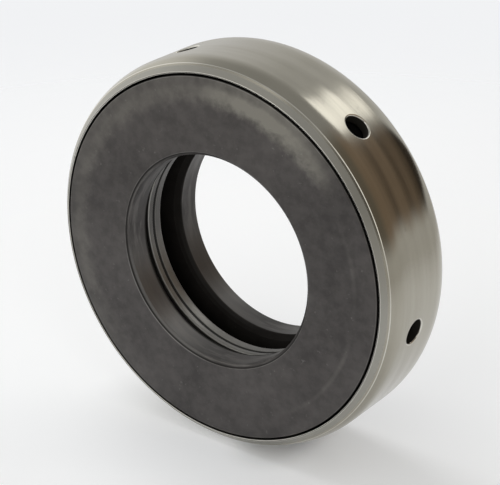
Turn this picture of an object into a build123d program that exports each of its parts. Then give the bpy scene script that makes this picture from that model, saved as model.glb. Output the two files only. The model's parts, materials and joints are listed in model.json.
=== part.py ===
from build123d import *
from math import sqrt
import os

# Banded thrust ball bearing: two grooved race washers, a ring of balls in a pressed steel
# cage, and a steel band rolled over both washers so that the set can't come apart.
# Millimetres. +Z is the thrust axis and the origin is the centre of the lower seating face.
# The shaft washer is on top and turns inside the band; the housing washer is pressed into it.

os.makedirs("parts", exist_ok=True)

# Main sizes
shaft_bore_dia = 30.0       # the shaft washer seats on the shaft
bore_difference = 0.5       # the housing washer's bore is larger, to clear the shaft
band_dia = 56.0             # over the band
height = 16.0               # between the two seating faces
ball_dia = 7.938            # 5/16 inch
ball_count = 14
pitch_offset = 0.175        # the balls run this far outside the middle of the washers

# Race washers
groove_ratio = 0.535        # groove radius as a share of the ball diameter
groove_depth = 0.59         # from the land beside the groove to its floor
ball_play = 0.02            # between a ball and each groove
bore_chamfer = 0.5          # at the seating face
land_chamfer = 0.7          # at the land, inside the bearing
face_slope = 3.35           # width of the slight slope round a seating face
face_drop = 0.15
edge_round = 0.2
neck_step = 0.8             # from the inside of the band in to a washer's neck
neck_height = 1.75          # from the shaft washer's face to its shoulder

# Steel band
band_wall = 1.35
lip_gap = 0.3               # between a lip and a washer's neck, and under the top lip
race_clearance = 0.25       # between the shaft washer and the band
front_recess = 0.2          # top lip below the top face
back_recess = 1.2           # bottom lip above the bottom face
lip_thick = 1.35
lip_flat = 0.2              # blunt edge of a lip
crease_in = 0.7             # from the band's surface in to the crease of a lip
crease_down = 0.95          # from a lip's end down to the crease
shoulder_height = 2.6       # from the crease to the straight wall
crease_round = 0.35

# Oil holes
oil_hole_dia = 3.5
oil_hole_count = 6
oil_hole_offset = 1.2       # above the middle of the height
oil_hole_start = -10.0      # degrees
oil_hole_deburr = 0.2

# Cage, a Z section: inner rim up, outer rim down
cage_sheet = 0.8
cage_play = 0.75            # between a rim and the washer that faces it
cage_bend = 0.35            # inner radius of the bends
cage_land = 0.05            # flat sheet between a window and a bend
window_clearance = 0.15     # between a ball and its window

# Worked out from the sizes above
mid_height = height / 2
shaft_bore_r = shaft_bore_dia / 2
band_r = band_dia / 2
wall_r = band_r - band_wall
neck_r = wall_r - neck_step
lip_r = neck_r + lip_gap
ball_r = ball_dia / 2
pitch_r = (shaft_bore_r + wall_r) / 2 + pitch_offset
groove_r = groove_ratio * ball_dia
groove_floor = mid_height - ball_r - ball_play
washer_thick = groove_floor + groove_depth
groove_half = sqrt(groove_r**2 - (groove_r - groove_depth) ** 2)

# The profiles are drawn with X as the radius and Y as the depth below a seating face
from_bottom = Plane(origin=(0, 0, 0), x_dir=(1, 0, 0), z_dir=(0, -1, 0))
from_top = Plane(origin=(0, 0, height), x_dir=(1, 0, 0), z_dir=(0, 1, 0))


def race_outline(bore_r, body_r, neck_end, shoulder_end):
    """Half section of a race washer. The shoulder is the slope that its lip sits over."""
    face = Polyline(
        (pitch_r - groove_half, washer_thick),
        (bore_r + land_chamfer, washer_thick),
        (bore_r, washer_thick - land_chamfer),
        (bore_r, bore_chamfer),
        (bore_r + bore_chamfer, 0),
        (neck_r - face_slope, 0),
        (neck_r - edge_round, face_drop),
        (neck_r, face_drop + edge_round),
        (neck_r, neck_end),
        (body_r, shoulder_end),
        (body_r, washer_thick - edge_round),
        (body_r - edge_round, washer_thick),
        (pitch_r + groove_half, washer_thick),
    )
    ThreePointArc(face @ 1, (pitch_r, groove_floor), face @ 0)


with BuildPart() as shaft_washer:
    body_r = wall_r - race_clearance
    shoulder_end = neck_height + body_r - neck_r
    with BuildSketch(from_top):
        with BuildLine():
            race_outline(shaft_bore_r, body_r, neck_height, shoulder_end)
        make_face()
    revolve(axis=Axis.Z)
shaft_washer.part.label = "shaft_washer"
export_step(shaft_washer.part, "parts/shaft_washer.step")

with BuildPart() as housing_washer:
    housing_bore_r = shaft_bore_r + bore_difference / 2
    neck_end = back_recess + lip_thick - lip_gap
    shoulder_end = neck_end + wall_r - neck_r
    with BuildSketch(from_bottom):
        with BuildLine():
            race_outline(housing_bore_r, wall_r, neck_end, shoulder_end)
        make_face()
    revolve(axis=Axis.Z)
housing_washer.part.label = "housing_washer"
export_step(housing_washer.part, "parts/housing_washer.step")

with BuildPart() as band:
    # The top lip hangs its gap above the shaft washer's shoulder, measured square to the slope
    top_seat = height - (neck_height + lip_gap - sqrt(2) * lip_gap)
    bottom_seat = back_recess + lip_thick
    crease_r = band_r - crease_in
    top_crease = height - front_recess - crease_down
    bottom_crease = back_recess + crease_down
    with BuildSketch(from_bottom):
        with BuildLine():
            wall = Line(
                (band_r, bottom_crease + shoulder_height),
                (band_r, top_crease - shoulder_height),
            )
            front = TangentArc(wall @ 1, (crease_r, top_crease), tangent=(0, 1))
            back = TangentArc(wall @ 0, (crease_r, bottom_crease), tangent=(0, -1))
            Polyline(
                front @ 1,
                (lip_r + lip_flat, height - front_recess),
                (lip_r, height - front_recess),
                (lip_r, top_seat),
                (wall_r, top_seat - (wall_r - lip_r)),
                (wall_r, bottom_seat + (wall_r - lip_r)),
                (lip_r, bottom_seat),
                (lip_r, back_recess),
                (lip_r + lip_flat, back_recess),
                back @ 1,
            )
        make_face()
        fillet(vertices().group_by(Axis.X)[-2], crease_round)
    revolve(axis=Axis.Z)
    for index in range(oil_hole_count):
        outward = Vector(1, 0, 0).rotate(Axis.Z, oil_hole_start + index * 360 / oil_hole_count)
        mouth = Plane(
            origin=outward * band_r + Vector(0, 0, mid_height + oil_hole_offset), z_dir=outward
        )
        with BuildSketch(mouth):
            Circle(oil_hole_dia / 2)
        extrude(amount=-2 * band_wall, mode=Mode.SUBTRACT)
        rim = edges(Select.LAST).sort_by(lambda edge: edge.center().dot(outward))[-1]
        chamfer(rim, oil_hole_deburr)
band.part.label = "band"
export_step(band.part, "parts/band.step")

with BuildPart() as cage:
    # The two rims stand clear of the windows by a bend and a little flat sheet
    half_width = ball_r + window_clearance + cage_land + cage_bend + cage_sheet
    rim_r, outer_r = pitch_r - half_width, pitch_r + half_width
    rim_top = height - washer_thick - cage_play
    rim_bottom = washer_thick + cage_play
    web_low, web_high = mid_height - cage_sheet / 2, mid_height + cage_sheet / 2
    with BuildSketch(from_bottom):
        with BuildLine():
            Polyline(
                (rim_r, web_low),
                (rim_r, rim_top),
                (rim_r + cage_sheet, rim_top),
                (rim_r + cage_sheet, web_high),
                (outer_r, web_high),
                (outer_r, rim_bottom),
                (outer_r - cage_sheet, rim_bottom),
                (outer_r - cage_sheet, web_low),
                close=True,
            )
        make_face()
        corners = vertices().filter_by_position(Axis.Y, web_low, web_high).sort_by(Axis.X)
        fillet(corners[1:3], cage_bend)
        corners = vertices().filter_by_position(Axis.Y, web_low, web_high).sort_by(Axis.X)
        fillet(corners[:1] + corners[-1:], cage_bend + cage_sheet / 2)
    revolve(axis=Axis.Z)
    with BuildSketch(Plane.XY.offset(web_low - cage_bend)):
        with PolarLocations(pitch_r, ball_count):
            Circle(ball_r + window_clearance)
    extrude(amount=cage_sheet + 2 * cage_bend, mode=Mode.SUBTRACT)
cage.part.label = "cage"
export_step(cage.part, "parts/cage.step")

for index in range(ball_count):
    centre = Vector(pitch_r, 0, mid_height).rotate(Axis.Z, index * 360 / ball_count)
    with BuildPart(Plane(origin=centre)) as ball:
        Sphere(ball_r)
    ball.part.label = f"ball_{index + 1:02d}"
    export_step(ball.part, f"parts/{ball.part.label}.step")
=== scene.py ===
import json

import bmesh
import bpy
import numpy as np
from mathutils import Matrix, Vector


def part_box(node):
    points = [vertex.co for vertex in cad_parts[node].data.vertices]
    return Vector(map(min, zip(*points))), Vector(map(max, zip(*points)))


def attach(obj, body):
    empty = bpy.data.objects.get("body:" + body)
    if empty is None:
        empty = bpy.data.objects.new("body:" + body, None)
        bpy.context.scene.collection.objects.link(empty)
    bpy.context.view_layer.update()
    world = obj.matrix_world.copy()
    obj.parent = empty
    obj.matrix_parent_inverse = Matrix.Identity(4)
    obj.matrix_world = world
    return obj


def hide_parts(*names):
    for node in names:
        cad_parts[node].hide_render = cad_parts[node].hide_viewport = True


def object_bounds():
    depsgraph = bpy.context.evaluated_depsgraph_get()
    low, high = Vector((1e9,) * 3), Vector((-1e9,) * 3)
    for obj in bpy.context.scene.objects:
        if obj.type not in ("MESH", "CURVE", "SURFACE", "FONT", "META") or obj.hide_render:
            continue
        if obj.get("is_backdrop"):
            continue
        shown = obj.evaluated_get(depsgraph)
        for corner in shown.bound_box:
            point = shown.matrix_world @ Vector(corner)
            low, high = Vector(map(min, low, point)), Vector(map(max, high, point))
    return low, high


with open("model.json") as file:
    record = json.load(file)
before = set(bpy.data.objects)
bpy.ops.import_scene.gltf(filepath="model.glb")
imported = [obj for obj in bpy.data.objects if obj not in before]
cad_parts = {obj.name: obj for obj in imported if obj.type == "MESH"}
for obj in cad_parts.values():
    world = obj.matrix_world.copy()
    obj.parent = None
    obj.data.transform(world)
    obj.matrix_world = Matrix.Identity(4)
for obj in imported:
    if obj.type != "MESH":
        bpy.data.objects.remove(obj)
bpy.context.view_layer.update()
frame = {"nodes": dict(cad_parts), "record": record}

# %% [markdown]
# # A banded thrust ball bearing
#
# Two hardened steel washers face each other across a ring of balls. Each washer has a shallow
# groove that the balls run in. A pressed cage spaces the balls, and a steel band is rolled over
# both washers, so the set stays together when it is lifted off its shaft.
#
# Nearly everything here is a body of revolution. So each piece starts as a half section, the
# outline that a lathe tool would follow, and is swept round the thrust axis with numpy.
#
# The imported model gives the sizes: its boxes and mounts are read here, and the sizes that they
# can't give, such as the slope of a lip, are named values in millimetres.

MM = 0.001
nodes, record = frame["nodes"], frame["record"]
mounts = {mount["name"]: mount for mount in record["mounts"]}


def extent(node):
    """Outer radius, lowest and highest z of a node in millimetres, from its box."""
    low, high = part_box(node)
    return high[0] / MM, low[2] / MM, high[2] / MM


band_r, band_low, band_high = extent("band")
shaft_r, _, height = extent("shaft_washer")
housing_r, _, housing_land = extent("housing_washer")
cage_r, cage_low, cage_high = extent("cage")
shaft_bore = mounts["shaft_bore"]["dims"]["r_mm"]
housing_bore = mounts["housing_bore"]["dims"]["r_mm"]
ball_names = sorted(name for name in nodes if name.startswith("ball_"))
ball_low, ball_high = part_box(ball_names[0])
ball_r = (ball_high[2] - ball_low[2]) / 2 / MM
pitch_r = (ball_low[0] + ball_high[0]) / 2 / MM
mid = height / 2
washer_thick = housing_land
print(f"band {2 * band_r:.1f} wide, {len(ball_names)} balls of {2 * ball_r:.3f} on {2 * pitch_r:.1f}")

# %% [markdown]
# ## Outlines with rounded corners
#
# A sharp corner never looks like steel, because every real edge is broken and catches a line of
# light. A bevel modifier could round the edges of a finished mesh, but it would not know which
# edge is a ground face and which is a rolled lip. Here each corner of the outline has its own
# radius, and the sweep carries it round.

# %% Helpers for outlines
ARC_STEPS = 7
HUG = 0.05    # a row this close to each rounded corner keeps the flat beside it flat


def rounded(corners, radii):
    """Outline through corners (N x 2), each replaced by an arc of its own radius.

    The arc's centre lies on the bisector at radius / sin(half the corner's angle), and the arc
    meets each side at radius / tan(half the angle). Returns points and an edge mask that is 1 in
    the middle of a sharp corner's arc, less on a slight bend and 0 on the flats."""
    corners = np.asarray(corners, float)
    points, mask = [], []
    for here, before, after, radius in zip(
        corners, np.roll(corners, 1, 0), np.roll(corners, -1, 0), radii
    ):
        if radius == 0:
            points.append(here[None])
            mask.append(np.zeros(1))
            continue
        back = (before - here) / np.linalg.norm(before - here)
        on = (after - here) / np.linalg.norm(after - here)
        half = np.arccos(np.clip(back @ on, -1, 1)) / 2
        reach = radius / np.tan(half)
        centre = here + (back + on) / np.linalg.norm(back + on) * radius / np.sin(half)
        t = np.linspace(0, 1, ARC_STEPS + 1)
        start, end = here + back * reach - centre, here + on * reach - centre
        bend = np.arccos(np.clip(start @ end / radius**2, -1, 1))
        arc = (
            np.sin((1 - t) * bend)[:, None] * start + np.sin(t * bend)[:, None] * end
        ) / np.sin(bend)
        hug = [here + back * (reach + HUG)], [here + on * (reach + HUG)]
        points.append(np.concatenate([hug[0], centre + arc, hug[1]]))
        mask.append(np.concatenate([[0], np.sin(np.pi * t) * min(1, 2 * bend), [0]]))
    return np.concatenate(points), np.concatenate(mask)


def swept(outline, angles):
    """Grid of the outline turned round Z: (r cos a, r sin a, z) for each point and angle."""
    r, z = outline[:, :1], outline[:, 1:]
    return np.stack(
        [r * np.cos(angles), r * np.sin(angles), z + 0 * angles], axis=-1
    )


def grid_quads(rows, columns, close_rows=False, close_columns=False):
    """Corner numbers of the quads between neighbouring rows and columns of a grid."""
    i = np.arange(rows if close_rows else rows - 1)[:, None]
    j = np.arange(columns if close_columns else columns - 1)[None]
    below, right = (i + 1) % rows, (j + 1) % columns
    return np.stack(
        [i * columns + j, i * columns + right, below * columns + right, below * columns + j],
        axis=-1,
    ).reshape(-1, 4)


# %% [markdown]
# ## From grids to meshes
#
# A piece is one or more grids of points. Where grids meet, their edge points are the same, and
# merging the doubles sews them into one closed shell. Each vertex also keeps an `edge` value,
# which the materials use to polish the worn corners.

# %% Mesh helper
SEW = 2e-6    # points nearer than this, in metres, are one point


def make_piece(name, grids, body, replaced):
    """Mesh of several (points, quads, edge) grids in mm, sewn together, riding on its body."""
    offsets = np.cumsum([0] + [points.size // 3 for points, _, _ in grids])
    points = np.concatenate([points.reshape(-1, 3) for points, _, _ in grids]) * MM
    quads = np.concatenate([q + start for (_, q, _), start in zip(grids, offsets)])
    edge = np.concatenate([np.asarray(e, float).reshape(-1) for _, _, e in grids])
    mesh = bpy.data.meshes.new(name)
    mesh.from_pydata(points, [], quads.tolist())
    layer = mesh.attributes.new("edge", "FLOAT", "POINT")
    layer.data.foreach_set("value", edge)
    sewn = bmesh.new()
    sewn.from_mesh(mesh)
    bmesh.ops.remove_doubles(sewn, verts=sewn.verts, dist=SEW)
    open_edges = sum(not seam.is_manifold for seam in sewn.edges)
    volume = sewn.calc_volume(signed=True) / MM**3
    sewn.to_mesh(mesh)
    sewn.free()
    mesh.shade_smooth()
    mesh.update()
    piece = bpy.data.objects.new(name, mesh)
    bpy.context.scene.collection.objects.link(piece)
    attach(piece, body)
    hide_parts(*replaced)
    print(f"{name}: {2 * len(mesh.polygons)} triangles, {volume:.0f} mm3, {open_edges} open edges")
    return piece


# %% [markdown]
# ## Race washers
#
# A race washer is turned, hardened and ground. Its seating face is flat near the bore and falls
# away slightly towards the rim. The other face has the groove, a circular arc a little wider
# than the balls so that they roll instead of rubbing. Near the rim the washer steps out under
# the band's lip, which is what holds it in.

# %% Washer outline
AROUND = 384
FACE_FLAT_R, FACE_DROP = 22.5, 0.15
RING_R = 22.6    # where a faint highlight is painted on a ring of the face
NECK_R, NECK_HEIGHT = 25.85, 1.75
BORE_CHAMFER, LAND_CHAMFER = 0.5, 0.7
GROOVE_RATIO, BALL_PLAY = 0.535, 0.02
GROOVE_STEPS = 16


def groove(depth_of_land):
    """Arc of the groove from its outer lip to its inner one, as (radius, depth) points.

    Its centre is straight above the lowest point, at the groove's radius."""
    radius = GROOVE_RATIO * 2 * ball_r
    deepest = mid - ball_r - BALL_PLAY
    centre = deepest + radius
    half = np.arccos((centre - depth_of_land) / radius)
    a = np.linspace(half, -half, GROOVE_STEPS + 1)
    return np.column_stack([pitch_r + radius * np.sin(a), centre - radius * np.cos(a)])


def washer_outline(bore_r, body_r, neck_end):
    """Closed outline of a washer in (radius, depth below the seating face)."""
    arc = groove(washer_thick)
    corners = [
        (bore_r + LAND_CHAMFER, washer_thick, 0.12),
        (bore_r, washer_thick - LAND_CHAMFER, 0.15),
        (bore_r, BORE_CHAMFER, 0.12),
        (bore_r + BORE_CHAMFER, 0, 0.15),
        (FACE_FLAT_R, 0, 0.8),
        (NECK_R, FACE_DROP, 0.22),
        (NECK_R, neck_end, 0.1),
        (body_r, neck_end + body_r - NECK_R, 0.12),
        (body_r, washer_thick, 0.2),
        *[(r, depth, 0) for r, depth in arc],
    ]
    corners = np.array(corners)
    return rounded(corners[:, :2], corners[:, 2])


def make_washer(name, node, body, bore_r, body_r, neck_end, on_top):
    """Sweeps a washer's outline, upright for the lower washer or turned over for the upper."""
    outline, edge = washer_outline(bore_r, body_r, neck_end)
    if on_top:
        outline, edge = outline[::-1] * [1, -1] + [0, height], edge[::-1]
    angles = np.linspace(0, 2 * np.pi, AROUND, endpoint=False)
    points = swept(outline, angles)
    quads = grid_quads(len(outline), AROUND, True, True)
    return make_piece(
        name, [(points, quads, np.repeat(edge, AROUND))], body, [node]
    )


BACK_RECESS, LIP_THICK, LIP_GAP = band_low, 1.35, 0.3
shaft_washer = make_washer(
    "upper_race", "shaft_washer", "shaft", shaft_bore, shaft_r, NECK_HEIGHT, True
)
housing_washer = make_washer(
    "lower_race",
    "housing_washer",
    "housing",
    housing_bore,
    housing_r,
    BACK_RECESS + LIP_THICK - LIP_GAP,
    False,
)

# %% [markdown]
# ## The band
#
# The band is a length of steel tube. Its ends are rolled inwards: first a long soft shoulder,
# then a crease where the roller's edge stopped, then a short sloped lip. Oil holes are drilled
# through the straight wall and their rims are broken with a countersink.
#
# A boolean could cut the holes, but it leaves long thin triangles that shade badly on polished
# steel. Here each hole has its own patch: rings of points that are a circle at the hole and a
# square at the patch's edge, bent round the wall. The rest of the wall is a plain grid whose
# columns meet the patches point for point.

# %% Band sizes
LIP_R = NECK_R + LIP_GAP
LIP_FLAT = 0.2
CREASE_IN, CREASE_DOWN, SHOULDER = 0.7, 0.95, 2.6
CREASE_ROUND = 0.76
HOLE_R, HOLE_Z, HOLES, HOLE_START = 1.75, 9.2, 6, -10.0
HOLE_ROUND = 0.22
PATCH = 2.6            # half the side of a hole's patch
SIDE = 16              # quads along one side of a patch
SPAN = AROUND // HOLES - SIDE
straight_top = band_high - CREASE_DOWN - SHOULDER
straight_low = band_low + CREASE_DOWN + SHOULDER
wall_in = housing_r
patch_low, patch_high = HOLE_Z - PATCH, HOLE_Z + PATCH
patch_half = PATCH / band_r


def band_angles():
    """Angles round the band: even inside each hole's patch and even between patches."""
    pitch = 2 * np.pi / HOLES
    inside = np.linspace(-patch_half, patch_half, SIDE + 1)
    between = np.linspace(patch_half, pitch - patch_half, SPAN + 1)[1:-1]
    sector = np.concatenate([inside, between])
    starts = np.radians(HOLE_START) + pitch * np.arange(HOLES)
    return (starts[:, None] + sector[None]).reshape(-1)


def shoulder_arc(steps=12):
    """Points of the front shoulder from the straight wall to the crease.

    A circle tangent to the wall that has come in by c after a height h has the radius
    (c squared + h squared) / 2c."""
    radius = (CREASE_IN**2 + SHOULDER**2) / (2 * CREASE_IN)
    a = np.linspace(0, np.arcsin(SHOULDER / radius), steps)
    return np.column_stack(
        [band_r - radius * (1 - np.cos(a)), straight_top + radius * np.sin(a)]
    )


def band_outline():
    """Open outlines of the upper and the lower end, each from the outer to the inner wall."""
    arc = shoulder_arc()
    lip_under = height - NECK_HEIGHT - (LIP_R - NECK_R) + np.sqrt(2) * LIP_GAP
    upper = [
        (band_r, patch_high, 0),
        *[(r, z, 0) for r, z in arc[:-1]],
        (arc[-1, 0], arc[-1, 1], CREASE_ROUND),
        (LIP_R + LIP_FLAT, band_high, 0.15),
        (LIP_R, band_high, 0.12),
        (LIP_R, lip_under, 0.1),
        (wall_in, lip_under - (wall_in - LIP_R), 0.1),
        (wall_in, patch_high, 0),
    ]
    middle = straight_top + straight_low
    seat = band_low + LIP_THICK
    lower = [
        (wall_in, patch_low, 0),
        (wall_in, seat + wall_in - LIP_R, 0.1),
        (LIP_R, seat, 0.1),
        (LIP_R, band_low, 0.12),
        (LIP_R + LIP_FLAT, band_low, 0.15),
        (arc[-1, 0], middle - arc[-1, 1], CREASE_ROUND),
        *[(r, middle - z, 0) for r, z in arc[-2::-1]],
        (band_r, patch_low, 0),
    ]
    ends = []
    for corners in (np.array(upper), np.array(lower)):
        ends.append(rounded(corners[:, :2], corners[:, 2]))
    return ends


# %% One hole's patch
def hole_patch(turn):
    """Rings from the outer patch edge through the hole to the inner patch edge.

    A ring is y = s cos t, z = s sin t about the hole's axis, on a wall of radius R where the
    height is the root of R squared minus y squared. Between the square edge and the circle the
    points slide along straight lines."""
    t = np.radians(-45 + 90 * np.arange(4 * SIDE) / SIDE)
    across = np.linspace(-1, 1, SIDE + 1)[:-1]
    side = np.concatenate([np.ones(SIDE), -across, -np.ones(SIDE), across])
    up = np.concatenate([across, np.ones(SIDE), -across, -np.ones(SIDE)])
    y, z = np.cos(t), np.sin(t)

    def face_ring(radius, wall, mix):
        """Ring part way (mix) from the patch's square edge to a circle on the wall."""
        edge_y = wall * np.sin(side * patch_half)
        ring_y = edge_y * (1 - mix) + radius * y * mix
        ring_z = up * PATCH * (1 - mix) + radius * z * mix
        return np.column_stack([np.sqrt(wall**2 - ring_y**2), ring_y, HOLE_Z + ring_z])

    rings, edge = [], []
    mouth = HOLE_R + HOLE_ROUND
    spread = [0, 0.3, 0.6, 0.85, 0.96, 1]
    for mix in spread:
        rings.append(face_ring(mouth, band_r, mix))
        edge.append(0)
    for a in np.linspace(0, np.pi / 2, 7)[1:]:
        ring = face_ring(mouth - HOLE_ROUND * np.sin(a), band_r, 1)
        ring[:, 0] -= HOLE_ROUND * (1 - np.cos(a))
        rings.append(ring)
        edge.append(np.sin(2 * a))
    inner = face_ring(HOLE_R, wall_in, 1)
    for mix in (0.05, 0.5, 0.95):
        rings.append(rings[11] * (1 - mix) + inner * mix)
        edge.append(0)
    for mix in spread[::-1]:
        rings.append(face_ring(HOLE_R, wall_in, mix))
        edge.append(0)
    points = np.stack(rings)
    c, s = np.cos(turn), np.sin(turn)
    points = points @ np.array([[c, s, 0], [-s, c, 0], [0, 0, 1]])
    quads = grid_quads(len(rings), 4 * SIDE, False, True)
    return points, quads, np.repeat(edge, 4 * SIDE)


# %% The whole band
def make_band():
    """Two rolled ends, plain wall between the holes inside and out, and the hole patches."""
    angles = band_angles()
    grids = []
    for outline, edge in band_outline():
        grids.append(
            (
                swept(outline, angles),
                grid_quads(len(outline), AROUND, False, True),
                np.repeat(edge, AROUND),
            )
        )
    levels = np.linspace(patch_low, patch_high, SIDE + 1)
    pitch = 2 * np.pi / HOLES
    for k in range(HOLES):
        turn = np.radians(HOLE_START) + k * pitch
        span = turn + np.linspace(patch_half, pitch - patch_half, SPAN + 1)
        for radius, outward in ((band_r, True), (wall_in, False)):
            wall = np.column_stack([np.full(SIDE + 1, radius), levels])
            quads = grid_quads(SIDE + 1, SPAN + 1)
            quads = quads if outward else quads[:, ::-1]
            grids.append((swept(wall, span), quads, np.zeros((SIDE + 1) * (SPAN + 1))))
        grids.append(hole_patch(turn))
    return make_piece("steel_band", grids, "housing", ["band"])


band = make_band()

# %% [markdown]
# ## The cage
#
# The cage is pressed from one ring of sheet steel. Its section is a Z: the inner rim is folded
# up and the outer rim down, and the flat web between them has a round window for each ball. The
# web is made as one patch per ball, circle to sector, so that every window is truly round.

# %% Cage
SHEET, BEND = 0.8, 0.35
CAGE_BORE = 2 * pitch_r - cage_r    # the rims stand evenly about the balls
WINDOW_PLAY = 0.15
WEB_SIDE = 28
BEAD_DOWN = 1.15       # from the rim's end down to a pressed line inside it
BEAD = [(0, 0.32), (0.2, 0.13), (0.2, -0.13), (0, -0.32)]


def cage_outlines():
    """Open outlines of the inner and the outer rim, from one side of the web to the other."""
    low, high = mid - SHEET / 2, mid + SHEET / 2
    rim = CAGE_BORE
    inner = [
        (rim + SHEET + BEND, high, 0),
        (rim + SHEET, high, BEND * 0.98),
        (rim + SHEET, cage_high, 0.18),
        (rim, cage_high, 0.25),
        *[(rim + d, cage_high - BEAD_DOWN + h, 0.05) for d, h in BEAD],
        (rim, low, BEND + SHEET / 2),
        (rim + SHEET + BEND, low, 0),
    ]
    outer = [
        (cage_r - SHEET - BEND, low, 0),
        (cage_r - SHEET, low, BEND * 0.98),
        (cage_r - SHEET, cage_low, 0.18),
        (cage_r, cage_low, 0.25),
        (cage_r, high, BEND + SHEET / 2),
        (cage_r - SHEET - BEND, high, 0),
    ]
    return [rounded(np.array(rows)[:, :2], np.array(rows)[:, 2]) for rows in (inner, outer)]


def window_patch(turn):
    """Rings from the web's upper sector edge, through one window, to the lower sector edge."""
    half = np.pi / len(ball_names)
    inner_r, outer_r = CAGE_BORE + SHEET + BEND, cage_r - SHEET - BEND
    across = np.linspace(-1, 1, WEB_SIDE + 1)[:-1]
    ones = np.ones(WEB_SIDE)
    radius = np.concatenate([ones, -across, -ones, across])
    angle = np.concatenate([across, ones, -across, -ones]) * half
    r = (inner_r + outer_r) / 2 + radius * (outer_r - inner_r) / 2
    x, y = r * np.cos(angle), r * np.sin(angle)
    t = np.arctan2(y, x - pitch_r)
    window = ball_r + WINDOW_PLAY
    cx, cy = pitch_r + window * np.cos(t), window * np.sin(t)
    low, high = mid - SHEET / 2, mid + SHEET / 2
    soft = 0.08
    steps = [(0, high), (0.5, high), (0.9, high), (1, high - soft), (1, mid), (1, low + soft)]
    steps += [(0.9, low), (0.5, low), (0, low)]
    rings = [
        np.column_stack([x * (1 - m) + cx * m, y * (1 - m) + cy * m, np.full(len(x), z)])
        for m, z in steps
    ]
    edge = [0, 0, 0, 1, 0, 1, 0, 0, 0]
    c, s = np.cos(turn), np.sin(turn)
    points = np.stack(rings) @ np.array([[c, s, 0], [-s, c, 0], [0, 0, 1]])
    quads = grid_quads(len(rings), len(x), False, True)
    return points, quads, np.repeat(edge, len(x))


def make_cage():
    """Both rims and a window patch for each ball."""
    count = len(ball_names)
    columns = count * WEB_SIDE
    half = np.pi / count
    angles = -half + 2 * np.pi * np.arange(columns) / columns
    grids = []
    for outline, edge in cage_outlines():
        quads = grid_quads(len(outline), columns, False, True)
        grids.append((swept(outline, angles), quads, np.repeat(edge, columns)))
    grids += [window_patch(2 * np.pi * k / count) for k in range(count)]
    return make_piece("ball_cage", grids, "cage", ["cage"])


cage = make_cage()

# %% [markdown]
# ## The balls
#
# A ball made of rings and poles shows its poles when it rolls. A cube blown up into a sphere
# has no poles: each of its six faces is a grid, and every point is pushed out to the radius.

# %% Balls
BALL_SIDE = 22


def ball_grids(centre):
    """Six faces of a cube mapped to a sphere: each point divided by its length.

    The grid's steps are even in angle, tan(u pi / 4), so the quads stay nearly equal."""
    u = np.tan(np.linspace(-1, 1, BALL_SIDE + 1) * np.pi / 4)
    a, b = np.meshgrid(u, u, indexing="ij")
    one = np.ones_like(a)
    quads = grid_quads(BALL_SIDE + 1, BALL_SIDE + 1)
    faces = []
    for axis in range(3):
        for sign in (1, -1):
            cube = np.empty((*a.shape, 3))
            cube[..., axis], cube[..., (axis + 1) % 3], cube[..., (axis + 2) % 3] = sign * one, a, b
            ball = cube / np.linalg.norm(cube, axis=-1, keepdims=True) * ball_r + centre
            faces.append((ball, quads[:, ::-1] if sign > 0 else quads, np.zeros(a.size)))
    return faces


balls = []
for name in ball_names:
    low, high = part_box(name)
    middle = np.array([(a + b) / 2 / MM for a, b in zip(low, high)])
    balls.append(make_piece(f"steel_{name}", ball_grids(middle), name, [name]))

# %% [markdown]
# ## Finishes
#
# All four finishes are steel, and what tells them apart is how they were worked. Groups hold
# what they share: fine tool lines that run round the axis and blotches of colour, and a helper
# adds the edges that handling has polished. A group gives only numbers and colours; the shader
# is in the material.

# %% Node helpers
def link(tree, source, target):
    """Feeds a socket from another socket, or sets it to a plain value."""
    if isinstance(source, bpy.types.NodeSocket):
        tree.links.new(source, target)
    else:
        target.default_value = source


def add(tree, kind, inputs=(), **settings):
    """New node with its settings, and its inputs given by name or number."""
    made = tree.nodes.new(kind)
    for key, value in settings.items():
        setattr(made, key, value)
    for key, value in dict(inputs).items():
        link(tree, value, made.inputs[key])
    return made


def math(tree, operation, a, b=0.0, clamp=False):
    """One sum: the result socket of a Math node."""
    made = add(tree, "ShaderNodeMath", {0: a, 1: b}, operation=operation, use_clamp=clamp)
    return made.outputs[0]


def chain(operation):
    """Helper that applies one operation to any number of values, from the left."""

    def apply(tree, first, *others):
        for other in others:
            first = math(tree, operation, first, other)
        return first

    return apply


product, total, most = chain("MULTIPLY"), chain("ADD"), chain("MAXIMUM")


def minus(tree, a, b):
    """a less b."""
    return math(tree, "SUBTRACT", a, b)


def length(tree, a, b):
    """The root of a squared plus b squared."""
    return math(tree, "SQRT", total(tree, product(tree, a, a), product(tree, b, b)))


def off_by(tree, value, centre):
    """Distance of a value from a centre given in millimetres."""
    return math(tree, "ABSOLUTE", minus(tree, value, centre * MM))


def ramp(tree, value, low, high, to_low=0.0, to_high=1.0):
    """Smooth step of a value from low to high."""
    made = add(
        tree,
        "ShaderNodeMapRange",
        {0: value, 1: low, 2: high, 3: to_low, 4: to_high},
        interpolation_type="SMOOTHSTEP",
    )
    return made.outputs[0]


def ramp_mm(tree, value, low, high, to_low=0.0, to_high=1.0):
    """Smooth step of a length between two places in millimetres."""
    return ramp(tree, value, low * MM, high * MM, to_low, to_high)


def blend(tree, share, first, second):
    """Colour between two colours."""
    made = add(tree, "ShaderNodeMix", data_type="RGBA")
    link(tree, share, made.inputs["Factor"])
    link(tree, first, made.inputs["A"])
    link(tree, second, made.inputs["B"])
    return made.outputs["Result"]


def combine(tree, x, y, z):
    """Vector of three values."""
    return add(tree, "ShaderNodeCombineXYZ", {0: x, 1: y, 2: z}).outputs[0]


def noise(tree, vector, scale, detail=2.0, rough=0.5):
    """Noise from 0 to 1 at so many features per metre."""
    made = add(
        tree,
        "ShaderNodeTexNoise",
        {"Vector": vector, "Scale": scale, "Detail": detail, "Roughness": rough},
    )
    return made.outputs["Fac"]


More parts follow.
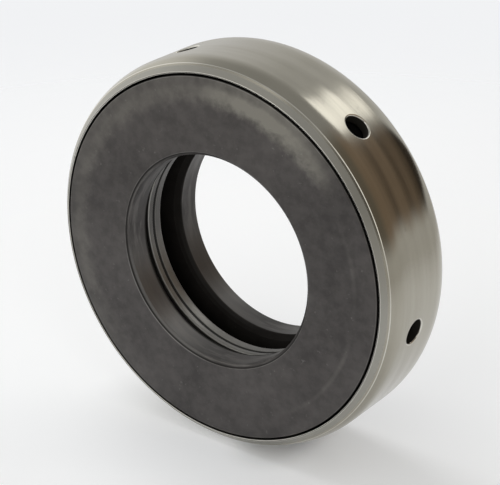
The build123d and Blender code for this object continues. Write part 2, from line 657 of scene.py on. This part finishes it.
def new_group(name, inputs, outputs):
    """Empty node group with its sockets; returns the group, its input node and output node."""
    group = bpy.data.node_groups.new(name, "ShaderNodeTree")
    for label, kind, value in inputs:
        socket = group.interface.new_socket(label, in_out="INPUT", socket_type=kind)
        if value is not None:
            socket.default_value = value
    for label, kind in outputs:
        group.interface.new_socket(label, in_out="OUTPUT", socket_type=kind)
    return group, group.nodes.new("NodeGroupInput"), group.nodes.new("NodeGroupOutput")


# %% [markdown]
# Tool lines: a turned or ground surface has fine scratches that run round the axis. So the
# noise is stretched: it changes quickly with the radius and the height, and slowly along the
# way round. The angle enters as its sine and cosine, which have no seam.

# %% Group: tool lines
FINE_WANDER = 3.0      # the fine lines fade this much sooner than the coarse ones
COARSE_SHARE = 0.12    # fineness of the coarse lines, as a share of the fine ones


def tool_lines_group():
    """Noise on (cos a, sin a, k(r + z)), so that it runs in rings about the axis."""
    group, given, result = new_group(
        "tool_lines",
        [
            ("Vector", "NodeSocketVector", None),
            ("Fineness", "NodeSocketFloat", 9000.0),
            ("Wander", "NodeSocketFloat", 1.0),
        ],
        [("Lines", "NodeSocketFloat"), ("Bands", "NodeSocketFloat")],
    )
    x, y, z = add(group, "ShaderNodeSeparateXYZ", {0: given.outputs["Vector"]}).outputs
    radius = length(group, x, y)
    along = total(group, radius, z)
    cosine, sine = math(group, "DIVIDE", x, radius), math(group, "DIVIDE", y, radius)

    def rings(fineness, wander):
        """One set of rings; wander is how soon a line fades along its way."""
        vector = combine(
            group,
            product(group, cosine, wander),
            product(group, sine, wander),
            product(group, along, fineness),
        )
        return noise(group, vector, 1.0, 3.0, 0.65)

    fineness, wander = given.outputs["Fineness"], given.outputs["Wander"]
    fine = rings(fineness, product(group, wander, FINE_WANDER))
    coarse = rings(product(group, fineness, COARSE_SHARE), wander)
    link(group, fine, result.inputs["Lines"])
    link(group, coarse, result.inputs["Bands"])
    return group


# %% Group: blotches and specks
CLOUD_SCALE, MOTTLE_SCALE, SPECK_SCALE = 70.0, 500.0, 1400.0    # features per metre


def blotches_group():
    """Large soft clouds, small mottle and sparse specks, each from noise of its own size."""
    group, given, result = new_group(
        "blotches",
        [("Vector", "NodeSocketVector", None), ("Size", "NodeSocketFloat", 1.0)],
        [
            ("Clouds", "NodeSocketFloat"),
            ("Mottle", "NodeSocketFloat"),
            ("Specks", "NodeSocketFloat"),
        ],
    )
    place = add(
        group,
        "ShaderNodeVectorMath",
        {0: given.outputs["Vector"], "Scale": given.outputs["Size"]},
        operation="SCALE",
    ).outputs[0]
    clouds = ramp(group, noise(group, place, CLOUD_SCALE, 4.0, 0.6), 0.3, 0.7)
    specks = ramp(group, noise(group, place, SPECK_SCALE, 3.0, 0.6), 0.66, 0.76)
    link(group, clouds, result.inputs["Clouds"])
    link(group, noise(group, place, MOTTLE_SCALE, 6.0, 0.65), result.inputs["Mottle"])
    link(group, specks, result.inputs["Specks"])
    return group


tool_lines, blotches = tool_lines_group(), blotches_group()
print("groups:", [(group.name, len(group.nodes)) for group in (tool_lines, blotches)])


# %% Helpers for materials
def use(tree, group, **inputs):
    """Places a group in a material and gives it its values."""
    made = add(tree, "ShaderNodeGroup", node_tree=group)
    for key, value in inputs.items():
        link(tree, value, made.inputs[key])
    return made.outputs


def start_material(name):
    """Material with a Principled shader; returns it, its tree, shader and Object coordinates."""
    material = bpy.data.materials.new(name)
    material.use_nodes = True
    tree = material.node_tree
    tree.nodes.clear()
    shader = add(tree, "ShaderNodeBsdfPrincipled")
    output = add(tree, "ShaderNodeOutputMaterial")
    tree.links.new(shader.outputs[0], output.inputs["Surface"])
    place = add(tree, "ShaderNodeTexCoord").outputs["Object"]
    return material, tree, shader, place


def cylinder(tree, place):
    """x, y, z and the radius about the axis of a point."""
    x, y, z = add(tree, "ShaderNodeSeparateXYZ", {0: place}).outputs
    return x, y, z, length(tree, x, y)


def around(tree, where, degrees):
    """Cosine of the angle round the axis between a point and a bearing in degrees."""
    x, y, _, radius = where
    turn = np.radians(degrees)
    across = product(tree, x, float(np.cos(turn)))
    up = product(tree, y, float(np.sin(turn)))
    return math(tree, "DIVIDE", total(tree, across, up), radius)


def worn_edge(tree, mottle, low, high):
    """Share of wear: the piece's own edge value, broken up by the mottle."""
    edge = add(tree, "ShaderNodeAttribute", attribute_name="edge").outputs["Fac"]
    return ramp(tree, product(tree, edge, total(tree, mottle, 0.45)), low, high)


def bumped(tree, shader, height_value, distance):
    """Feeds the shader's normal from a height in metres."""
    bump = add(tree, "ShaderNodeBump", {"Height": height_value, "Distance": distance})
    tree.links.new(bump.outputs[0], shader.inputs["Normal"])


# %% [markdown]
# Race steel is hardened and then treated dark against rust. The coat is thin, grey-brown and
# cloudy, with pale specks where crystals catch the light, and it is rubbed brighter on the
# edges. Painted highlights lie on one side of the bore and on a faint ring on one side of the
# face, and the sloped rim of the face carries a painted reflection with a ragged edge, strong on
# one side and faint on another. Painted shade darkens the inside of the bearing, the neck under
# the band's lip, the bore's chamfer and the lower washer.

# %% Race steel: colours and places
# near black for painted shade inside the bearing, in gaps and in the oil holes
PAINTED_SHADE_BLACK = (0.012, 0.011, 0.01, 1)
COAT_DARK, COAT_LIGHT = (0.05, 0.046, 0.045, 1), (0.112, 0.104, 0.1, 1)
# painted reflection on the sloped rim, and painted highlight on a ring of the face
RIM_REFLECTION_PAINT, RING_HIGHLIGHT_PAINT = (0.235, 0.225, 0.198, 1), (0.2, 0.192, 0.175, 1)
CRYSTAL, WORN_COAT = (0.4, 0.39, 0.37, 1), (0.36, 0.35, 0.33, 1)
# painted highlight on one side of the bore, and tool streaks on its wall
BORE_HIGHLIGHT_PAINT, BORE_STREAK = (0.21, 0.205, 0.2, 1), (0.19, 0.18, 0.172, 1)
REFLECTION_START, REFLECTION_FULL = 21.5, 23.8    # radii between which the painted reflection on the rim appears
FADE_FROM, FADE_TO = 24.2, 25.2           # radii between which it fades to half
RAGGED = 2.2                              # the whole range by which the mottle moves its edge
REFLECTION_AT, FAINT_REFLECTION_AT = 68, 143               # bearings of the strong and the faint painted reflection on the rim
RING_HIGHLIGHT_AT, BORE_HIGHLIGHT_AT = -8, 226              # bearings of the painted highlights on the face's ring and on the bore


def rim_reflection_share(tree, spots, where):
    """Share of the painted reflection on one side of the sloped rim."""
    radius = where[3]
    ragged = product(tree, minus(tree, spots["Mottle"], 0.5), RAGGED * MM)
    slope = ramp_mm(tree, total(tree, radius, ragged), REFLECTION_START, REFLECTION_FULL)
    slope = product(tree, slope, ramp_mm(tree, radius, FADE_FROM, FADE_TO, 1.0, 0.5))
    # painted reflection, strong on one side and faint on another
    strong_reflection = ramp(tree, around(tree, where, REFLECTION_AT), 0.84, 0.99)
    light = ramp(tree, around(tree, where, FAINT_REFLECTION_AT), -0.3, 0.8, 0.0, 0.22)
    share = product(tree, slope, most(tree, strong_reflection, light))
    cloudy = total(tree, 0.45, spots["Clouds"])
    patchy = product(tree, cloudy, ramp(tree, spots["Mottle"], 0.25, 0.75, 0.7, 1.1))
    return math(tree, "MULTIPLY", share, patchy, clamp=True)


def ring_highlight_share(tree, spots, where):
    """Share of the painted highlight on a faint ring of the face, on one side only."""
    near = ramp_mm(tree, off_by(tree, where[3], RING_R), 0.0, 0.5, 1.0, 0.0)
    side = ramp(tree, around(tree, where, RING_HIGHLIGHT_AT), 0.5, 0.95, 0.0, 0.4)
    return product(tree, near, side, spots["Clouds"])


def bore_shares(tree, lines, where):
    """Shares of a painted highlight on one side of the bore, and of streaks on its wall."""
    radius = where[3]
    # painted highlight on one side of the bore
    side = ramp(tree, around(tree, where, BORE_HIGHLIGHT_AT), 0.7, 0.95, 0.0, 0.6)
    bore_highlight = product(tree, side, ramp_mm(tree, radius, shaft_bore + 0.5, shaft_bore + 0.7, 1.0, 0.0))
    bands = ramp(tree, lines["Bands"], 0.45, 0.62, 0.0, 0.55)
    wall = ramp_mm(tree, radius, shaft_bore + 0.3, shaft_bore + 0.5, 1.0, 0.0)
    return bore_highlight, product(tree, bands, wall)


def painted_shade_shares(tree, where):
    """Share of painted shade everywhere, and share of the painted shade inside the bearing alone."""
    _, _, z, radius = where
    # painted shade inside the bearing, under the band's lip, on the bore's chamfer and on the lower
    # washer
    inside = ramp_mm(tree, off_by(tree, z, mid), 4.2, 4.6, 1.0, 0.0)
    neck = ramp_mm(tree, radius, NECK_R - 0.1, NECK_R - 0.03)
    bevel = ramp_mm(tree, radius, shaft_bore + 0.42, shaft_bore + 0.5, 1.0, 0.0)
    bevel = product(tree, bevel, ramp_mm(tree, z, height - 0.3, height - 0.15))
    rear = ramp_mm(tree, z, mid, mid + 1, 0.35, 0.0)
    return most(tree, inside, neck, bevel, rear), inside


# %% Race steel
def race_steel():
    """Dark satin steel: clouds and mottle in the colour, rings in the bump."""
    material, tree, shader, place = start_material("race_steel")
    spots = use(tree, blotches, Vector=place)
    lines = use(tree, tool_lines, Vector=place, Fineness=7000.0, Wander=2.0)
    where = cylinder(tree, place)
    mottled = ramp(tree, spots["Mottle"], 0.34, 0.66, 0.0, 0.36)
    tone = total(tree, product(tree, spots["Clouds"], 0.45), mottled)
    bore_highlight, streaks = bore_shares(tree, lines, where)
    worn = worn_edge(tree, spots["Mottle"], 0.45, 1.0)
    painted_shade, inside = painted_shade_shares(tree, where)
    colour = blend(tree, tone, COAT_DARK, COAT_LIGHT)
    layers = [
        # painted reflection on one side of the sloped rim
        (rim_reflection_share(tree, spots, where), RIM_REFLECTION_PAINT),
        # painted highlight on one side of a ring of the face
        (ring_highlight_share(tree, spots, where), RING_HIGHLIGHT_PAINT),
        (product(tree, spots["Specks"], 0.16), CRYSTAL),
        # painted highlight on one side of the bore
        (bore_highlight, BORE_HIGHLIGHT_PAINT),
        (streaks, BORE_STREAK),
        (product(tree, worn, 0.28), WORN_COAT),
        # painted shade, near black
        (product(tree, painted_shade, 0.85), PAINTED_SHADE_BLACK),
    ]
    for share, paint in layers:
        colour = blend(tree, share, colour, paint)
    link(tree, colour, shader.inputs["Base Color"])
    # the painted shade is also made dull, without a metal shine
    unshaded = minus(tree, 1.0, inside)
    link(tree, product(tree, unshaded, 0.75), shader.inputs["Metallic"])
    link(tree, product(tree, unshaded, 0.5), shader.inputs["Specular IOR Level"])
    rough = total(tree, 0.34, product(tree, spots["Mottle"], 0.2))
    link(tree, minus(tree, rough, product(tree, worn, 0.12)), shader.inputs["Roughness"])
    grain = total(tree, product(tree, lines["Lines"], 0.6), product(tree, spots["Mottle"], 1.4))
    bumped(tree, shader, grain, 0.000014)
    return material


# %% [markdown]
# Band steel is bright: turned, then polished lightly, so it still has fine lines round it. Its
# colour is slightly warm, and a film of oil and finger marks changes its gloss in soft patches.
# Rolling left slow waves along its width, a few hundredths of a millimetre deep. They are too
# small to see by themselves, but they break each reflection into streaks. The lips are duller,
# because the roller rubbed them, and painted shade makes the walls of the oil holes near black.

# %% Band steel
BAND_DARK, BAND_LIGHT = (0.355, 0.335, 0.28, 1), (0.405, 0.385, 0.33, 1)
TOOL_MARK, OIL_SPOT = (0.27, 0.25, 0.21, 1), (0.2, 0.19, 0.17, 1)
LIP_STEEL, WORN_BAND = (0.32, 0.318, 0.30, 1), (0.8, 0.78, 0.72, 1)
WAVES, WAVE_DRIFT = 420.0, 16.0    # waves per metre along the axis, and across it
WAVE_DEPTH = 0.12                  # for the whole range of the noise, which it rarely fills
band_mid = (band_low + band_high) / 2


def lip_share(tree, where):
    """1 on the sloped lips at both ends of the band."""
    _, _, z, radius = where
    ends = ramp_mm(tree, off_by(tree, z, band_mid), 6.5, 6.7)
    crease = band_r - CREASE_IN
    return product(tree, ends, ramp_mm(tree, radius, crease - 0.2, crease - 0.05, 1.0, 0.0))


def hole_share(tree, where):
    """1 on the walls of the oil holes, inside their bright mouths."""
    _, _, z, radius = where
    level = ramp_mm(tree, off_by(tree, z, HOLE_Z), 2.6, 3.0, 1.0, 0.0)
    return product(tree, level, ramp_mm(tree, radius, band_r - 0.22, band_r - 0.12, 1.0, 0.0))


def band_steel():
    """Bright satin steel: rings in bump and gloss, slow waves, soft patches of oil film."""
    material, tree, shader, place = start_material("band_steel")
    spots = use(tree, blotches, Vector=place, Size=0.8)
    lines = use(tree, tool_lines, Vector=place, Fineness=9000.0, Wander=1.2)
    where = cylinder(tree, place)
    x, y, z, _ = where
    lip, hole = lip_share(tree, where), hole_share(tree, where)
    worn = worn_edge(tree, spots["Mottle"], 0.15, 0.5)
    colour = blend(tree, spots["Clouds"], BAND_DARK, BAND_LIGHT)
    layers = [
        (ramp(tree, lines["Bands"], 0.35, 0.7, 0.0, 0.2), TOOL_MARK),
        (product(tree, spots["Specks"], 0.2), OIL_SPOT),
        (product(tree, lip, 0.6), LIP_STEEL),
        (product(tree, worn, 0.7), WORN_BAND),
        # painted shade: the walls of the oil holes are painted near black
        (product(tree, hole, 0.95), PAINTED_SHADE_BLACK),
    ]
    for share, paint in layers:
        colour = blend(tree, share, colour, paint)
    link(tree, colour, shader.inputs["Base Color"])
    # the painted shade in the holes is also made dull, without a metal shine
    outside_holes = minus(tree, 1.0, hole)
    link(tree, outside_holes, shader.inputs["Metallic"])
    link(tree, product(tree, outside_holes, 0.5), shader.inputs["Specular IOR Level"])
    film = product(tree, spots["Clouds"], 0.06)
    marks = product(tree, lines["Lines"], 0.04)
    rough = total(tree, 0.11, film, marks, product(tree, most(tree, lip, hole), 0.2))
    link(tree, rough, shader.inputs["Roughness"])
    drift = [product(tree, value, WAVE_DRIFT) for value in (x, y)]
    waves = noise(tree, combine(tree, *drift, product(tree, z, WAVES)), 1.0, 0.0)
    wave = add(tree, "ShaderNodeBump", {"Height": waves, "Distance": WAVE_DEPTH * MM})
    bumped(tree, shader, total(tree, lines["Lines"], product(tree, lines["Bands"], 1.5)), 0.000004)
    fine = shader.inputs["Normal"].links[0].from_node
    tree.links.new(wave.outputs[0], fine.inputs["Normal"])
    return material


# %% [markdown]
# Cage steel is plain cold pressed sheet, dull and a little rubbed where the balls and the races
# brush it. It carries a painted highlight on one side, and painted shade darkens its outer part
# and its pressed line. Ball steel is lapped until it is nearly a mirror.

# %% Cage steel
CAGE_DARK, CAGE_LIGHT = (0.09, 0.086, 0.082, 1), (0.135, 0.13, 0.124, 1)
# real wear on the edges, and a painted highlight on one side
WORN_SHEET, CAGE_HIGHLIGHT_PAINT = (0.55, 0.54, 0.51, 1), (0.34, 0.33, 0.31, 1)
# painted shade on the outer part and in the pressed line
CAGE_SHADE_BLACK = (0.01, 0.01, 0.01, 1)
CAGE_HIGHLIGHT_AT = 236    # bearing of the side with the painted highlight


def cage_steel():
    """Cold pressed sheet: dull, worn edges, faint drawing marks, a painted highlight, painted shade.
    """
    material, tree, shader, place = start_material("cage_steel")
    spots = use(tree, blotches, Vector=place, Size=1.4)
    lines = use(tree, tool_lines, Vector=place, Fineness=5000.0, Wander=1.5)
    where = cylinder(tree, place)
    _, _, z, radius = where
    worn = worn_edge(tree, spots["Mottle"], 0.35, 0.85)
    side = ramp(tree, around(tree, where, CAGE_HIGHLIGHT_AT), 0.6, 0.92, 0.0, 0.55)
    level = ramp_mm(tree, off_by(tree, z, cage_high - BEAD_DOWN), 0.35, 0.45, 1.0, 0.0)
    bead = product(tree, level, ramp_mm(tree, radius, CAGE_BORE + 0.03, CAGE_BORE + 0.12))
    shaded_outer = ramp_mm(tree, radius, pitch_r + 1, pitch_r + 3)
    colour = blend(tree, spots["Clouds"], CAGE_DARK, CAGE_LIGHT)
    layers = [
        (product(tree, worn, 0.7), WORN_SHEET),
        # painted highlight on one side
        (product(tree, side, total(tree, 0.4, spots["Mottle"])), CAGE_HIGHLIGHT_PAINT),
        # painted shade on the outer part and in the pressed line
        (most(tree, product(tree, bead, 0.9), shaded_outer), CAGE_SHADE_BLACK),
    ]
    for share, paint in layers:
        colour = blend(tree, share, colour, paint)
    link(tree, colour, shader.inputs["Base Color"])
    unshaded = minus(tree, 1.0, shaded_outer)
    link(tree, product(tree, unshaded, 0.8), shader.inputs["Metallic"])
    link(tree, product(tree, unshaded, 0.5), shader.inputs["Specular IOR Level"])
    rough = total(tree, 0.3, product(tree, spots["Mottle"], 0.2))
    link(tree, rough, shader.inputs["Roughness"])
    bumped(tree, shader, total(tree, lines["Lines"], spots["Mottle"]), 0.00001)
    return material


# %% Ball steel
BALL_DARK, BALL_LIGHT = (0.55, 0.54, 0.52, 1), (0.66, 0.66, 0.65, 1)


def ball_steel():
    """Lapped steel: nearly a mirror, under a thin uneven film of grease."""
    material, tree, shader, place = start_material("ball_steel")
    spots = use(tree, blotches, Vector=place, Size=2.5)
    link(tree, blend(tree, spots["Clouds"], BALL_DARK, BALL_LIGHT), shader.inputs["Base Color"])
    shader.inputs["Metallic"].default_value = 1.0
    rough = total(tree, 0.07, product(tree, spots["Clouds"], 0.12))
    link(tree, rough, shader.inputs["Roughness"])
    bumped(tree, shader, spots["Mottle"], 0.000001)
    return material


# %% Give each piece its finish
def finish_with(material, *pieces):
    """One material for each of these pieces."""
    for piece in pieces:
        piece.data.materials.clear()
        piece.data.materials.append(material)
    print(f"{material.name}: {len(pieces)} pieces")


finish_with(race_steel(), shaft_washer, housing_washer)
finish_with(band_steel(), band)
finish_with(cage_steel(), cage)
finish_with(ball_steel(), *balls)

# %% [markdown]
# ## Stage
#
# The bearing stands on its edge on a pale table, so the table touches the band at the lowest
# point of its rim, on the -Y side. The table is a disc that fades into the background, and only
# its upper side shows, so it doesn't hide the bearing from below.

# %% Table
TABLE_R = 0.20
FADE_START = 0.06
CONTACT = 4.5                           # half the length of the line on which the band stands
SHADE_X = 7.0                           # how far to +X of that line the painted shadow in the glow is darkest
GLASS, GLOW = (0.78, 0.789, 0.802, 1), (0.27, 0.274, 0.28, 1)


def table_disc(rings=24, spokes=96):
    """Disc at y = -band radius: (s sin a, y, s cos a) with s from nearly 0 to the rim."""
    s = np.linspace(1e-4, TABLE_R, rings)[:, None]
    a = np.linspace(0, 2 * np.pi, spokes, endpoint=False)[None]
    low = -band_r * MM - 2e-5
    points = np.stack([s * np.sin(a), low + 0 * s * a, s * np.cos(a)], axis=-1)
    mesh = bpy.data.meshes.new("table")
    quads = grid_quads(rings, spokes, False, True)[:, ::-1]
    mesh.from_pydata(points.reshape(-1, 3), [], [*quads.tolist(), list(range(spokes))])
    mesh.update()
    made = bpy.data.objects.new("table", mesh)
    bpy.context.scene.collection.objects.link(made)
    made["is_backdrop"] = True
    return made


def table_material():
    """Milk glass that glows, so that the shadow on it stays pale.

    The glow is weaker along a line beside the one on which the band stands, a painted shadow.
    The glass is clear where it fades out and on its underside."""
    material = bpy.data.materials.new("table")
    material.use_nodes = True
    tree = material.node_tree
    tree.nodes.clear()
    place = add(tree, "ShaderNodeTexCoord").outputs["Object"]
    x, _, z = add(tree, "ShaderNodeSeparateXYZ", {0: place}).outputs
    shown = ramp(tree, length(tree, x, z), FADE_START, TABLE_R, 1.0, 0.0)
    behind = add(tree, "ShaderNodeNewGeometry").outputs["Backfacing"]
    shown = product(tree, shown, minus(tree, 1.0, behind))
    # painted shadow: the glow is weaker near the line on which the band stands
    beyond = most(tree, minus(tree, off_by(tree, z, band_mid), CONTACT * MM), 0.0)
    reach = length(tree, minus(tree, x, SHADE_X * MM), beyond)
    strength = ramp_mm(tree, reach, 1.0, 7.0, 0.4, 1.0)
    white = add(tree, "ShaderNodeBsdfDiffuse", {"Color": GLASS})
    glow = add(tree, "ShaderNodeEmission", {"Color": GLOW, "Strength": strength})
    lit = add(tree, "ShaderNodeAddShader", {0: white.outputs[0], 1: glow.outputs[0]})
    clear = add(tree, "ShaderNodeBsdfTransparent")
    mix = add(tree, "ShaderNodeMixShader", {0: shown, 1: clear.outputs[0], 2: lit.outputs[0]})
    output = add(tree, "ShaderNodeOutputMaterial")
    tree.links.new(mix.outputs[0], output.inputs["Surface"])
    return material


table = table_disc()
table.data.materials.append(table_material())
print("table faces", [round(v, 2) for v in table.data.polygons[0].normal])

# %% [markdown]
# ## Surroundings
#
# Polished steel has no look of its own: it shows the room. The background that the camera sees
# is plain and pale. What the steel reflects is a soft room: pale walls under a dimmer ceiling,
# a bright front, the table's brightness below, and a dark warm wall on one side, which gives the
# band its brown streak. A bright shelf crosses that wall, a window is high up at the back, and a
# pale patch of sky lies above, towards the front.

# %% Room
PANEL_WAY, SKY_WAY = (0.85, 0.53, 0), (-0.39, 0.92, 0)
WINDOW_WAY = (0.14, 0.67, -0.73)
FLOOR_LIGHT, WALL_LIGHT = (0.60, 0.585, 0.55, 1), (0.78, 0.78, 0.77, 1)
CEILING_LIGHT, FRONT_LIGHT = (0.42, 0.42, 0.41, 1), (1.9, 1.9, 1.9, 1)
LEFT_LIGHT = (1.05, 1.05, 1.03, 1)
WOOD_FOOT, WOOD_LOW = (0.05, 0.04, 0.03, 1), (0.31, 0.235, 0.17, 1)
WOOD_MIDDLE, WOOD_TOP = (0.20, 0.175, 0.14, 1), (0.13, 0.125, 0.115, 1)
SHELF_LIGHT, SKY_LIGHT = (1.15, 1.13, 1.07, 1), (0.95, 0.94, 0.9, 1)
WINDOW_LIGHT, BACKDROP = (2.2, 2.2, 2.15, 1), (0.88, 0.89, 0.905, 1)


def facing(tree, vector, direction):
    """Cosine between a ray and a direction."""
    unit = tuple(Vector(direction).normalized())
    dot = add(tree, "ShaderNodeVectorMath", {0: vector, 1: unit}, operation="DOT_PRODUCT")
    return dot.outputs["Value"]


def room_light(tree, way):
    """Colour of the painted room in a direction.

    The wall and the sky patch are found by their azimuth about Z: the cosine between the ray's
    (x, y) and their middle. The window is found by the cosine between the ray and its own
    direction."""
    x, y, z = add(tree, "ShaderNodeSeparateXYZ", {0: way}).outputs
    flat = combine(tree, x, y, 0.0)
    flat = add(tree, "ShaderNodeVectorMath", {0: flat}, operation="NORMALIZE").outputs[0]
    panel = ramp(tree, facing(tree, flat, PANEL_WAY), 0.80, 0.93)
    wood = blend(tree, ramp(tree, z, -0.86, -0.74), WOOD_FOOT, WOOD_LOW)
    wood = blend(tree, ramp(tree, z, -0.5, 0.0), wood, WOOD_MIDDLE)
    wood = blend(tree, ramp(tree, z, 0.25, 0.65), wood, WOOD_TOP)
    shelf = product(tree, ramp(tree, z, 0.28, 0.38), ramp(tree, z, 0.50, 0.60, 1.0, 0.0))
    sky = ramp(tree, facing(tree, flat, SKY_WAY), 0.90, 0.98)
    colour = blend(tree, ramp(tree, y, -0.3, 0.15), FLOOR_LIGHT, WALL_LIGHT)
    layers = [
        (ramp(tree, y, 0.3, 0.95), CEILING_LIGHT),
        (product(tree, ramp(tree, z, 0.72, 0.88), ramp(tree, y, 0.0, 0.2)), FRONT_LIGHT),
        (ramp(tree, x, -0.9, -0.62, 1.0, 0.0), LEFT_LIGHT),
        (panel, wood),
        (product(tree, shelf, panel), SHELF_LIGHT),
        (product(tree, sky, ramp(tree, z, 0.34, 0.5)), SKY_LIGHT),
        (ramp(tree, facing(tree, way, WINDOW_WAY), 0.982, 0.992), WINDOW_LIGHT),
    ]
    for share, light in layers:
        colour = blend(tree, share, colour, light)
    return colour


def room():
    """World with a plain backdrop for the camera and the painted room for everything else."""
    world = bpy.data.worlds.new("room")
    world.use_nodes = True
    tree = world.node_tree
    tree.nodes.clear()
    way = add(tree, "ShaderNodeTexCoord").outputs["Generated"]
    seen = add(tree, "ShaderNodeLightPath").outputs["Is Camera Ray"]
    colour = blend(tree, seen, room_light(tree, way), BACKDROP)
    background = add(tree, "ShaderNodeBackground", {"Color": colour, "Strength": 1.0})
    output = add(tree, "ShaderNodeOutputWorld")
    tree.links.new(background.outputs[0], output.inputs["Surface"])
    bpy.context.scene.world = world
    print("room:", len(tree.nodes), "nodes")


room()


# %% Lamp
def softbox(name, place, target, size, watts):
    """Square area lamp at a place, turned to its target, that no reflection shows."""
    lamp = bpy.data.lights.new(name, "AREA")
    lamp.shape, lamp.size, lamp.energy = "SQUARE", size, watts
    made = bpy.data.objects.new(name, lamp)
    made.location = place
    made.rotation_mode = "QUATERNION"
    made.rotation_quaternion = (Vector(target) - Vector(place)).to_track_quat("-Z", "Y")
    made.visible_glossy = False
    bpy.context.scene.collection.objects.link(made)


softbox("key", (-0.26, 0.46, -0.04), (0, 0, 0), 0.36, 0.95)

# %% [markdown]
# ## Camera
#
# A long lens about a quarter of a metre away, as for a small product picture. It stands in front
# of the upper face, to the right of the axis and above the table, and it isn't rolled.

# %% Camera
FOCAL, SENSOR = 123.54, 36.0
camera_data = bpy.data.cameras.new("camera")
camera_data.lens, camera_data.sensor_width = FOCAL, SENSOR
camera = bpy.data.objects.new("camera", camera_data)
right = Vector((0.80443, 0, -0.59406))
upward = Vector((-0.24573, 0.91044, -0.33276))
ahead = Vector((-0.54086, -0.41365, -0.73237))
turn = Matrix((right, upward, -ahead)).transposed().to_4x4()
camera.matrix_world = Matrix.Translation((0.12787, 0.09773, 0.18089)) @ turn
camera_data.clip_start, camera_data.clip_end = 0.01, 10.0
bpy.context.scene.collection.objects.link(camera)
bpy.context.scene.camera = camera
bpy.context.scene.view_settings.view_transform = "Standard"
print(f"camera {camera.location.length / MM:.0f} mm from the middle of the lower face")

# %% Size of the visual
low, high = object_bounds()
print("visual box", [round(v / MM, 2) for v in (*low, *high)])
